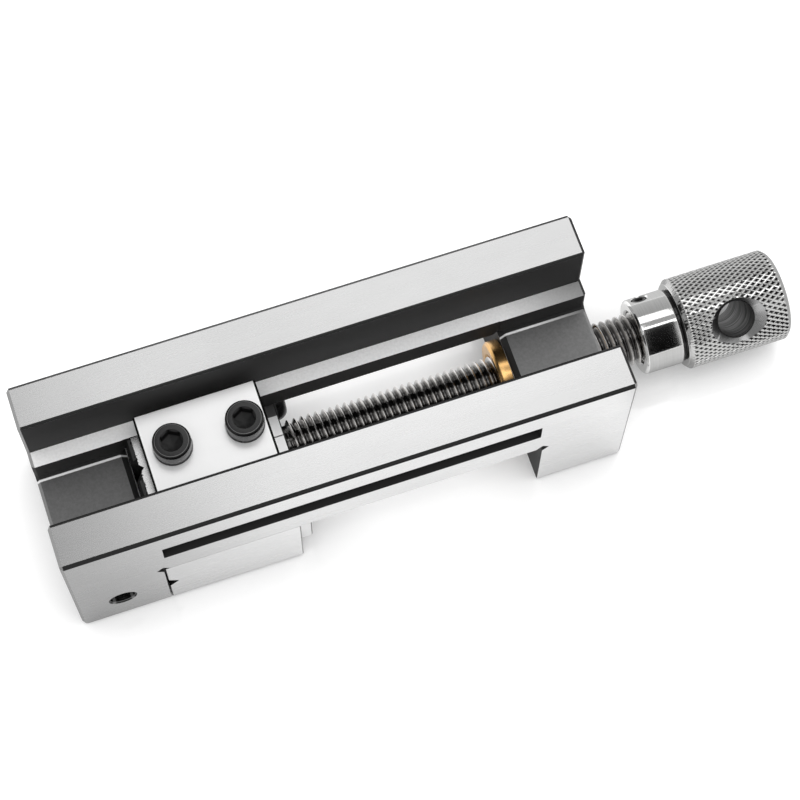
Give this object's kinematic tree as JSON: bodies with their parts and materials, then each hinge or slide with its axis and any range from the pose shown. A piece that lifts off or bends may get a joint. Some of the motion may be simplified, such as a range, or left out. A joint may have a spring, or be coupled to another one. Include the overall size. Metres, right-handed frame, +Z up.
{
  "type": "toolmakers vise",
  "caption": "Precision screw vise: stepped base channel, sliding V-grooved jaw, split retaining plate, lead screw in a flanged brass nut, knurled knob with cross hole.",
  "frame": {"origin": "on the surface that the vise lies on (the plane of its jaw tops), under the middle of its overall length and width", "axes": "+X from the fixed jaw's end towards the knob, along the screw; +Z up out of the base face, which faces up because the vise lies on its jaw tops as pictured; -Y the side nearer the camera"},
  "size_m": [0.2022, 0.05, 0.05],
  "materials": {
    "ground_steel": "surface ground hardened steel, light satin grey",
    "black_oxide": "black oxide over machined steel, dull sheen",
    "screw_steel": "cut thread, oiled dark grey steel",
    "brass": "turned brass, polished",
    "knurled_steel": "turned and diamond knurled steel, bright"
  },
  "bodies": {
    "base": {"body": "ground_steel", "screw_nut": "brass"},
    "jaw": {"moving_jaw": "ground_steel", "keeper_plate": "ground_steel", "keeper_screw_front": "black_oxide", "keeper_screw_rear": "black_oxide", "retaining_plate_near": "ground_steel", "retaining_plate_far": "ground_steel", "retaining_screw_near": "black_oxide", "retaining_screw_far": "black_oxide"},
    "screw": {"lead_screw": "screw_steel", "knob": "knurled_steel", "knob_set_screw": "black_oxide"}
  },
  "joints": [
    {"name": "jaw_slide", "type": "slide", "parent": "base", "child": "jaw", "axis": [1, 0, 0], "range_m": [0, 0.0535]},
    {"name": "screw_turn", "type": "hinge", "parent": "jaw", "child": "screw", "pos_m": [-0.0359, 0, 0.014], "axis": [1, 0, 0], "range_deg": [0, 9630]}
  ],
  "couplings": [
    {"joint": "screw_turn", "follows": "jaw_slide", "rad_per_m": 3141.6}
  ]
}
